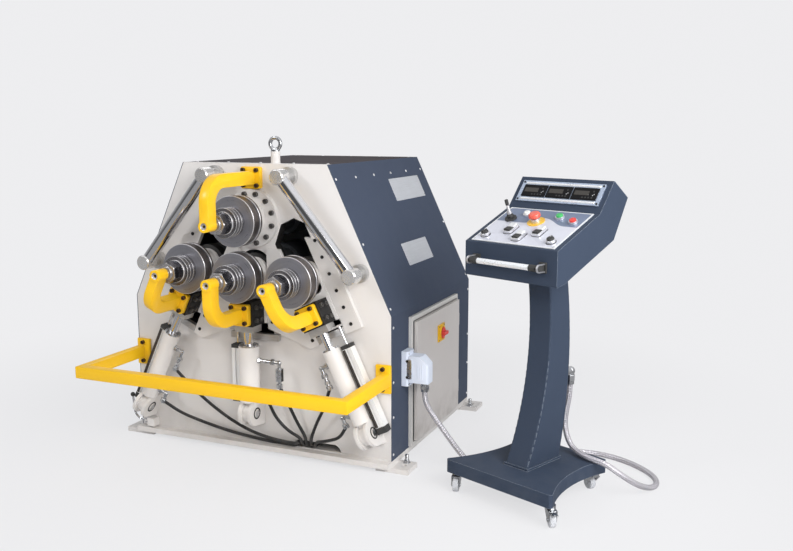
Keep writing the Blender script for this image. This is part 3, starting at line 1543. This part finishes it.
@dataclass
class Fasteners:
    """Gib plates and the screws, studs and nuts on the front of the body."""

    flange_level: float = 900.0
    flange_radius: float = 108.0
    flange_head: float = 1.2
    stud_height: float = 20.0
    foot_reach: float = 500.0
    bar_depth: float = 24.3
    side_bar: Pair = (217, 59.2)
    centre_bar: Pair = (228, 102.8)

    def build(self) -> None:
        """Painted gibs, machined tie bars and a socket screw for every CAD head."""
        paint("gib_plates", self.gib_finish, FRONT)
        maker = Maker()
        for solid in solids("cap_screws", FRONT):
            if solid.size.y > self.stud_height:
                self.level_stud(maker, solid)
                continue
            seat = FRONT.matrix(solid.middle.x, solid.middle.y, solid.low.z)
            flange = math.hypot(solid.middle.x, solid.middle.y - self.flange_level) < self.flange_radius
            finish = SCREW_BROWN if abs(solid.middle.x) > self.foot_reach else GREY_SCREW if flange else BLACKED
            maker.socket_screw(seat, solid.size.x / 2 * (self.flange_head if flange else 1), solid.size.z, finish)
        maker.build("socket_screws", ROOT_BODY, "blacked_steel", node="cap_screws")

    def gib_finish(self, middle: Vector, normal: Vector) -> Finish:
        """Machined tie bars, which stand further out, and enamelled gibs.

        Args:
            middle: the face's middle in millimetres.
            normal: its normal.

        Returns:
            Its finish.
        """
        for slide, part in in_slides(middle):
            top, half = self.centre_bar if slide is Slide.CENTRE else self.side_bar
            if abs(part.x) < half and -self.bar_depth < part.y + top < 0.3:
                return MILLED
        return CREAM

    @staticmethod
    def level_stud(maker: Maker, solid: Solid) -> None:
        """Levelling stud with a hexagon nut on a washer.

        Args:
            maker: the piece that it joins.
            solid: the CAD body that it stands for.
        """
        foot = WORLD.matrix(*(FRONT.at(solid.middle.x, solid.low.y, solid.middle.z) / MM))
        maker.lathe(((13, 0), (13, 1.6), (12, 2), (7, 2)), foot, ZINC, 24)
        maker.prism(polygon(11), 2, 10, foot, ZINC, 1)
        thread = [(7.0 - 0.5 * (i % 2), 10.0 + 0.8 * i) for i in range(26)]
        maker.lathe((*thread, (6, 31.4), (4, 32)), foot, ZINC, 16)


@dataclass
class Guides:
    """Chrome guide bars on turned posts, and the yellow guard rail."""

    posts: tuple = ((156, 1058), (434, 721), (-156, 1058), (-434, 721))
    post_radius: float = 34.0
    head_back: float = 49.5
    rail_rounding: float = 4.0

    def build(self) -> None:
        """Turned posts with polished heads, chrome bars and a rail with rounded corners."""
        def pick(middle: Vector, normal: Vector) -> Finish:
            """Polished head or turned neck at a post, chrome between."""
            post = any(math.hypot(middle.x - x, middle.y - z) < self.post_radius for x, z in self.posts)
            return CHROME if not post else POLISHED if middle.z > self.head_back else MILLED

        paint("guide_bars", pick, FRONT)
        maker = Maker()
        maker.soften("guard_rail", lambda solid: True, lambda middle, normal: YELLOW, FRONT, self.rail_rounding)
        maker.build("guard_rail_dressed", ROOT_BODY, "yellow_paint", SOFT_ANGLE, "guard_rail")


FITTING_HALF = 12.0


@dataclass(frozen=True)
class Cylinder:
    """Sizes of one slide's cylinder in the slide's frame, in millimetres.

    Attributes:
        gland: level of the gland's lower end.
        pivot: level of the clevis pin.
        sensor: place of the position sensor across the slide.
        span: lower and upper end of the sensor's profile.
        legs: reach, level and drop of each fitting.
    """

    gland: float
    pivot: float
    sensor: float
    span: Pair
    legs: tuple[Triple, ...]

    def has_fitting(self, part: Vector) -> bool:
        """Whether a point lies among the plated fittings.

        Args:
            part: the point in the slide's frame.

        Returns:
            Whether it does.
        """
        reach = max((leg[0] for leg in self.legs), key=abs)
        beside = 0.0 < part.x * math.copysign(1, reach) < abs(reach) + FITTING_HALF
        return beside and any(top - drop - 0.5 < part.y < top + FITTING_HALF for _, top, drop in self.legs)


LEFT_CYLINDER = Cylinder(-276, -606, -51, (-598, -294), ((66, -324, 78), (66, -518, 34)))
CYLINDERS = {
    Slide.LEFT: LEFT_CYLINDER,
    Slide.CENTRE: Cylinder(-269, -526, -68, (-471, -287), ((128, -321, 90), (78, -439, 34))),
    Slide.RIGHT: replace(LEFT_CYLINDER, sensor=51.0, legs=((-66, -324, 78), (-66, -518, 34))),
}


@dataclass
class Hydraulics:
    """Cylinders, rods, position sensors, fittings and hoses."""

    cylinder_out: float = 60.0
    cylinder_half: float = 80.0
    cylinder_top: float = -255.0
    gland_radius: float = 37.0
    pin_start: float = 27.7
    pin_top: float = -480.0
    cheek: float = 27.5
    rod_top: float = -212.2
    rod_radius: float = 33.0
    feeler_out: float = 32.0
    sensor_front: float = 44.0
    sensor_half: float = 24.0
    sensor_foot: float = 7.9
    sensor_end: float = 40.0
    strip_width: float = 12.0
    fitting_reach: float = 20.0
    manifold: Pair = (70, 340)

    def build(self) -> None:
        """Enamelled barrels, chrome rods, plated fittings and black hoses."""
        paint("hydraulic_cylinders", self.barrel_finish, FRONT)
        for slide, place in MOVING.items():
            paint(f"cylinder_rod_{slide.value}", self.rod_finish, place)
        paint("position_sensors", self.sensor_finish, FRONT)
        paint("hydraulic_lines", self.line_finish, FRONT)
        self.sensor_strips()
        self.fitting_nuts()
        self.pin_rings()
        paint("power_unit", self.power_finish)
        LOG.info("hydraulics: cylinders, rods, sensors, lines and power unit dressed")

    def sensor_strips(self) -> None:
        """Dark scale strip along the front of the side slides' position sensors."""
        maker = Maker()
        for slide in (Slide.LEFT, Slide.RIGHT):
            cylinder = CYLINDERS[slide]
            low, high = cylinder.span
            seat = SLIDES[slide].matrix(cylinder.sensor - self.strip_width, (low + high) / 2, self.sensor_front)
            maker.prism(rounded(self.strip_width, high - low - 3, 1, 3), -0.5, 0.8, seat, STRIP, 0.3)
        maker.build("sensor_strips", ROOT_BODY, "black_plastic")

    def fitting_nuts(self) -> None:
        """Hexagon nuts along the plated fittings."""
        maker = Maker()
        for slide, place in SLIDES.items():
            stub = Place(place.origin, place.up, place.out, place.across)
            leg = Place(place.origin, place.out, place.across, place.up).moved(self.cylinder_out)
            for reach, top, drop in CYLINDERS[slide].legs:
                inwards = reach - math.copysign(26, reach)
                nuts = [(stub.matrix(top, self.cylinder_out, inwards), 12, 12),
                        (leg.matrix(0, reach, top - 30), 12, 14),
                        (leg.matrix(0, reach, top - drop + 2), 11.5, 16)]
                if drop > 60:
                    nuts.append((leg.matrix(0, reach, top - 56), 10.5, 12))
                for matrix, radius, length in nuts:
                    maker.prism(polygon(radius), -length / 2, length / 2, matrix, ZINC, 1.2)
        maker.build("fitting_nuts", ROOT_BODY, "zinc_steel")

    def pin_rings(self) -> None:
        """Black retaining rings on the clevis pins."""
        maker = Maker()
        section = ((22, 0), (22, 1.6), (17, 1.6), (17, 0), (22, 0))
        for (slide, place), hand in product(SLIDES.items(), (1, -1)):
            side = Place(place.origin, place.up, hand * place.out, hand * place.across)
            seat = side.matrix(CYLINDERS[slide].pivot, hand * self.cylinder_out, self.cheek)
            maker.lathe(section, seat, BLACKED, 32, caps=False)
        maker.build("pin_rings", ROOT_BODY, "blacked_steel")

    def barrel_finish(self, middle: Vector, normal: Vector) -> Finish:
        """Steel glands and pins, enamel elsewhere.

        Args:
            middle: the face's middle in millimetres.
            normal: its normal.

        Returns:
            Its finish.
        """
        for slide, part in in_slides(middle):
            if abs(part.x) > self.cylinder_half or part.y > self.cylinder_top:
                continue
            away = math.hypot(part.x, part.z - self.cylinder_out)
            gland = part.y > CYLINDERS[slide].gland + 0.2 and away < self.gland_radius
            if gland or abs(part.x) > self.pin_start and part.y < self.pin_top:
                return ZINC
        return CREAM

    def rod_finish(self, middle: Vector, normal: Vector) -> Finish:
        """Chrome rod and feeler, pale end block and tab."""
        slim = math.hypot(middle.x, middle.z - self.cylinder_out) < self.rod_radius or middle.z < self.feeler_out
        return CHROME if middle.y < self.rod_top and slim else MILLED

    def sensor_finish(self, middle: Vector, normal: Vector) -> Finish:
        """Pale profiles with black end caps on milled feet.

        Args:
            middle: the face's middle in millimetres.
            normal: its normal.

        Returns:
            Its finish.
        """
        for slide, part in in_slides(middle):
            low, high = CYLINDERS[slide].span
            beside = abs(part.x - CYLINDERS[slide].sensor) < self.sensor_half
            if beside and low - self.sensor_end < part.y < high + self.sensor_end:
                capped = not low - 0.2 <= part.y <= high + 0.2
                shaded = normal.x < -0.5 and middle.z > self.sensor_foot
                return BLACK if capped or shaded else MILLED if middle.z < self.sensor_foot else PROFILE
        return PROFILE

    def line_finish(self, middle: Vector, normal: Vector) -> Finish:
        """Plated fittings beside the barrels, black hoses beyond."""
        found = any(CYLINDERS[slide].has_fitting(part) for slide, part in in_slides(middle))
        return ZINC if found and abs(middle.z - self.cylinder_out) < self.fitting_reach else HOSE

    def power_finish(self, middle: Vector, normal: Vector) -> Finish:
        """Grey tank and motor, milled manifold."""
        return MILLED if middle.x > self.manifold[0] and middle.z > self.manifold[1] else GREY


@dataclass
class Cabinet:
    """Electrical cabinet, its door, main switch and the cable connector."""

    face_x: float = 565.0
    mounting_x: float = 378.0
    plate_depth: float = 15.5
    breaker_depth: float = 76.0
    door: tuple[float, float, float, float] = (-250, 225, 62, 520)
    door_front: float = 14.5
    gasket: float = 5.0
    switch: Pair = (0, 428)
    switch_half: float = 34.0
    switch_front: float = 20.5
    screw_half: float = 27.0
    connector: Pair = (-310, 362)
    connector_front: float = 26.0
    gland_top: float = 311.9
    lock: Pair = (26, 335)

    def build(self) -> None:
        """Paints the cabinet and adds the gasket, lock, switch ring and connector levers."""
        paint("electrical_cabinet", self.box_finish)
        paint("cabinet_door", self.door_finish)
        paint("main_switch", RED)
        paint("cable_connector", self.connector_finish)
        self.gasket_strip()
        self.door_lock()
        self.switch_ring()
        self.connector_levers()

    def box_finish(self, middle: Vector, normal: Vector) -> Finish:
        """Enamelled box, zinc mounting plate and rails, pale breakers.

        Args:
            middle: the face's middle in millimetres.
            normal: its normal.

        Returns:
            Its finish.
        """
        depth = middle.x - self.mounting_x
        if self.plate_depth < depth < self.breaker_depth and -240 < middle.y < 215 and 72 < middle.z < 512:
            return BREAKER
        if 0 < depth < self.plate_depth and -236.5 < middle.y < 211.5 and 75.5 < middle.z < 506.5:
            return ZINC
        return CABINET

    def door_finish(self, middle: Vector, normal: Vector) -> Finish:
        """Yellow switch plate on an enamelled door."""
        before = middle.x > self.face_x + self.door_front + 0.1
        return SIGNAL_YELLOW if before and abs(middle.y) < self.switch_half else DOOR

    def connector_finish(self, middle: Vector, normal: Vector) -> Finish:
        """Pale hood and base, plated glands."""
        base = middle.x < BODY_HALF + self.connector_front + 0.2 and middle.z > 296
        return ZINC if middle.z < self.gland_top and middle.x < 700 and not base or middle.x > 900 else HOOD

    def gasket_strip(self) -> None:
        """Sealing strip round the door, black where it shows at the front seam."""
        left, right, low, high = self.door
        maker = Maker()
        lift = self.face_x - BODY_HALF
        x, y, half = (left + right) / 2, (low + high) / 2, self.gasket / 2
        level = (right - left + 4 * half, self.gasket)
        upright = (self.gasket, high - low)
        for across, up, size in ((x, low - half, level), (x, high + half, level), (left - half, y, upright),
                                 (right + half, y, upright)):
            finish = BLACK if across < left else SEAL
            maker.prism(rounded(*size, 1.5, 3), lift, lift + 3, RIGHT_SIDE.matrix(across, up), finish, 0.8)
        maker.build("door_gasket", ROOT_BODY, "black_plastic")

    def door_lock(self) -> None:
        """Quarter-turn lock at the door's front edge."""
        maker = Maker()
        lock = RIGHT_SIDE.matrix(self.door[0] + self.lock[0], self.lock[1], self.face_x + self.door_front - BODY_HALF)
        maker.lathe(((12, 0), (12, 2.2), (10.8, 3.2), (8, 3.2), (8, 1.4), (0.6, 1.4)), lock, ZINC, 24)
        maker.prism(rounded(13, 3.2, 1, 3), 1.4, 3.4, lock, BLACKED, 0.4)
        maker.build("door_lock", "cabinet_door", "machined_steel")

    def switch_ring(self) -> None:
        """Raised ring and corner screws on the switch plate."""
        seat = RIGHT_SIDE.moved(*self.switch, self.face_x + self.switch_front - BODY_HALF)
        maker = Maker()
        section = ((28.5, -0.1), (28.5, 4.6), (27.4, 6), (25, 6), (24, 4.6), (24, -0.1), (28.5, -0.1))
        maker.lathe(section, seat.matrix(), SIGNAL_YELLOW, 40, caps=False)
        head = ((2.6, 0), (2.6, 0.6), (2, 1), (0.8, 1), (0.5, 0.4))
        for corner in product((-self.screw_half, self.screw_half), repeat=2):
            maker.lathe(head, seat.matrix(*corner), BLACKED, 12)
        maker.build("main_switch_ring", "cabinet_door", "yellow_paint")

    def connector_levers(self) -> None:
        """Locking levers, base screws and ribs of the connector's hood."""
        base = RIGHT_SIDE.moved(*self.connector, self.connector_front)
        maker = Maker()
        for hand in (-1, 1):
            lever = Place(base.at(hand * 27), base.out, base.up, base.across * hand)
            maker.prism(rounded(22, 74, 6), 0, 2.6, lever.matrix(2), ZINC, 0.8)
            maker.prism(rounded(8, 62, 3), 2.6, 4, lever.matrix(9), ZINC, 0.6)
            for level in (-30, 30):
                maker.lathe(((5, 2.6), (5, 4.2), (4, 5), (1, 5)), lever.matrix(-4, level), BLACKED, 16)
            for step in range(3):
                maker.prism(rounded(4, 60, 1.8, 3), 0, 1.2, lever.matrix(36.0 + 9.0 * step, -8), HOOD, 0.5)
        for corner in product((-22, 22), (-57, 57)):
            maker.socket_screw(base.matrix(*corner), 4, 2.4, ZINC, 18)
        maker.build("connector_levers", ROOT_BODY, "aluminium")


@dataclass
class LubePump:
    """Hand lubrication pump with its lever."""

    ball_level: float = 150.0

    def build(self) -> None:
        """Enamelled pump body, chrome lever and black ball."""
        paint("lube_pump", CREAM)
        paint("lube_lever", self.lever_finish)

    def lever_finish(self, middle: Vector, normal: Vector) -> Finish:
        """Black ball at the lever's end."""
        return BLACK if middle.z > self.ball_level else CHROME


@dataclass
class Console:
    """Wheeled console: tray, column, head, plate, meters, controls and casters."""

    rockers: dict[str, Pair] = field(default_factory=lambda: {
        "left": (-60, 82), "centre": (0, 44), "right": (54, 82)})
    selectors: dict[str, Pair] = field(default_factory=lambda: {
        "left": (-131, 34), "right": (131, 34)})
    joystick: Pair = (-111, 150)
    lamp: Pair = (-68, 187)
    emergency: Pair = (-5, 146)
    meter_pitch: float = 101.0
    display_middle: float = 67.6
    bezel_rise: float = 5.0
    meter_rise: float = 8.0
    handle_depth: float = 16.0
    handle_level: float = 808.0
    strap_half: float = 1.7
    strap_bend: float = 11.6
    strap_span: Pair = (137, 142)

    def build(self) -> None:
        """Paints the console and adds its small fittings."""
        for node in ("console_base", "console_column", "console_head"):
            paint(node, CONSOLE_SLATE)
        paint("control_panel", self.panel_finish, PANEL)
        paint("display_unit", self.display_finish, DISPLAY)
        self.handle()
        self.controls()
        self.meters()
        self.plate_screws()
        self.casters()

    def panel_finish(self, middle: Vector, normal: Vector) -> Finish:
        """Finish of the plate and of each seat on it.

        Args:
            middle: the face's middle in millimetres.
            normal: its normal.

        Returns:
            Its finish.
        """
        def away(spot: Pair) -> float:
            """Distance from a control's axis."""
            return math.dist(middle.xy, spot)

        if middle.z < 0.05:
            return PLATE
        if away(self.lamp) < 11.3 and middle.z > 4.9:
            return LAMP
        if away(self.emergency) < 31:
            return SIGNAL_YELLOW if middle.z < 2.1 and away(self.emergency) > 15.1 else SATIN
        if away(self.joystick) < 21:
            return BLACK
        for a, s in self.rockers.values():
            if abs(middle.x - a) < 12.3 and abs(middle.y - s) < 23.3:
                return BLACK
            if abs(middle.x - a) < 17 and abs(middle.y - s) < 28:
                return PALE if normal.z > 0.5 else SATIN
        return SATIN

    def display_finish(self, middle: Vector, normal: Vector) -> Finish:
        """Black meters in a brushed bezel."""
        beside = any(abs(middle.x - index * self.meter_pitch) < 48 for index in (-1, 0, 1))
        return METER_CASE if beside and abs(middle.y - self.display_middle) < 23 else BEZEL

    def controls(self) -> None:
        """Finishes of the moving controls."""
        paint("joystick", lambda m, n: SATIN if 24.0 < m.z < 52.0 else BLACK, PANEL)
        maker = Maker()
        sleeve = ((9, 21), (9, 24), (5.6, 34), (4.6, 46), (3.6, 48))
        maker.lathe(sleeve, PANEL.matrix(*self.joystick), SATIN)
        maker.build("joystick_sleeve", "joystick", "machined_steel")
        for node, finish in (("emergency_stop", STOP_RED), ("start_button", GREEN), ("stop_button", RED)):
            paint(node, finish)
        for name, (_, level) in self.rockers.items():
            paint(f"rocker_{name}", lambda m, n, level=level: PALE if m.y > level else BLACK, PANEL)
        for name, seat in self.selectors.items():
            self.selector(name, PANEL.matrix(*seat))

    @staticmethod
    def selector(name: str, seat: Matrix) -> None:
        """Low black selector cap on a bright ring, with a pale mark.

        Args:
            name: which selector.
            seat: its place on the plate.
        """
        maker = Maker()
        maker.lathe(((15, 5.5), (15, 9), (13.6, 10.4), (11.6, 10.4)), seat, SATIN, 32)
        maker.lathe(((12.2, 9.8), (12.2, 14.5), (11, 16.4), (6, 17.4), (1, 17.6)), seat, BLACK, 32)
        grip = seat @ Matrix.Translation((0, 0, 15.5))
        maker.prism(rounded(7, 21, 2), 0, 4.6, grip, BLACK, 1)
        maker.prism(rounded(1.8, 8, 0.8, 3), 4.6, 5, grip @ Matrix.Translation((0, 5.4, 0)), PALE, 0.2)
        maker.build(f"selector_{name}_dressed", f"selector_{name}", "black_plastic", node=f"selector_{name}")

    def meters(self) -> None:
        """Windows, key rows and corner screws of the display unit."""
        maker = Maker()
        face = self.meter_rise + 0.6
        for index in (-1, 0, 1):
            meter = DISPLAY.moved(index * self.meter_pitch, self.display_middle)
            maker.prism(rounded(92, 42, 3), self.meter_rise, face, meter.matrix(), METER_CASE, 0.4)
            maker.prism(rounded(56, 17, 2), face, face + 0.6, meter.matrix(-12, 2), WINDOW, 0.4)
            for across, up, finish in ((32, -6, PALE), (37, -2, PALE), (32, 9, BLACK),
                                       *((key, -15, BLACK) for key in (32, 20, 8, -4))):
                r = 1.5 if finish is PALE else 3.0
                maker.lathe(((r, 0), (r, 0.5), (0.7 * r, 0.9), (0.2 * r, 1)), meter.matrix(across, up, face), finish,
                            12)
        bezel = DISPLAY.moved(s=self.display_middle, p=self.bezel_rise)
        for s in (-31, 31):
            maker.prism(rounded(300, 9, 2), 0, 3, bezel.matrix(0, s), BRIGHT, 2.6)
        for corner in product((-158, 158), (-34, 34)):
            maker.socket_screw(bezel.matrix(*corner), 3.6, 2, BLACKED, 18)
        maker.build("meter_windows", ROOT_BODY, "aluminium")

    def plate_screws(self) -> None:
        """Screws at the control plate's corners and dark gaskets under its rockers and selectors."""
        maker = Maker()
        head = ((3.2, 0), (3.2, 0.5), (2.6, 1), (1.2, 1), (0.8, 0.4))
        for corner in product((-157, 157), (8, 220)):
            maker.lathe(head, PANEL.matrix(*corner), ZINC, 16)
        for seat in self.rockers.values():
            maker.prism(rounded(35, 57, 9), 0, 1.2, PANEL.matrix(*seat), BLACK, 0.4)
        for seat in self.selectors.values():
            maker.lathe(((17, 0), (17, 1.2), (16, 1.6), (15.2, 1.6)), PANEL.matrix(*seat), BLACK, 32)
        maker.build("plate_screws", ROOT_BODY, "machined_steel")

    def handle(self) -> None:
        """Satin tube in black sleeves, held by a bright strap round each end."""
        maker = Maker()
        along = Place(CONSOLE.at(0, self.handle_depth, self.handle_level), CONSOLE.up, Z_AXIS, CONSOLE.across)
        face = Place(along.origin, CONSOLE.across, Z_AXIS, -CONSOLE.up)
        maker.lathe(((9.2, -112), (9.2, 112)), along.matrix(), BRIGHT, 32)
        for hand in (-1, 1):
            side = Place(along.origin, hand * CONSOLE.up, Z_AXIS, hand * CONSOLE.across)
            maker.lathe(((9.4, 103), (10.8, 104.4), (10.8, 128), (9, 129)), side.matrix(), BLACK, 32)
            maker.prism(rounded(41, 19, 8), 126, 139, side.matrix(hand * 11.5), BLACK, 1)
            maker.prism(rounded(5, 34, 2), 118, 147, side.matrix(hand * 29.4), BLACK, 1)
            self.strap(maker, along, hand)
            maker.socket_screw(face.matrix(hand * 132.5, 0, 9), 4.2, 2.6, BLACKED, 18)
        maker.build("console_handle_dressed", ROOT_BODY, "aluminium", node="console_handle")

    def strap(self, maker: Maker, along: Place, hand: int) -> None:
        """Bright bent strap round one end of the handle.

        Args:
            maker: the piece that it joins.
            along: frame on the tube's axis, its third axis along the tube.
            hand: which end.
        """
        bend, (near, far) = self.strap_bend, self.strap_span
        turned = [math.radians(15 * i) for i in range(13)]
        line = [Vector(point) for point in (
            (30, bend), (16, bend), *((-bend * math.sin(t), bend * math.cos(t)) for t in turned), (16, -bend),
            (30, -bend))]
        rings = []
        for before, point, after in zip([line[0], *line], line, [*line[1:], line[-1]]):
            run = (after - before).normalized()
            aside = Vector((-run.y, run.x)) * self.strap_half
            rings.append([along.at(*(point + k * aside), hand * end)
                          for k, end in ((1, near), (1, far), (-1, far), (-1, near))])
        maker.loft(rings, SATIN)

    def casters(self) -> None:
        """Plated forks and pale wheels."""
        for corner in Corner:
            paint(f"caster_fork_{corner.value}", ZINC)
            paint(f"caster_wheel_{corner.value}", TYRE)


def main() -> None:
    """Builds every sub-assembly in order."""
    logging.basicConfig(level=logging.INFO, format="%(name)s: %(message)s")
    Effects().build()
    for part in (Studio(), ControlCable(), BodyShell(), RollSets(), SupportArms(), Carriages(), Fasteners(), Guides(),
                 Hydraulics(), Cabinet(), LubePump(), Console()):
        part.build()
        LOG.info("%s done", type(part).__name__)


if __name__ == "__main__":
    main()
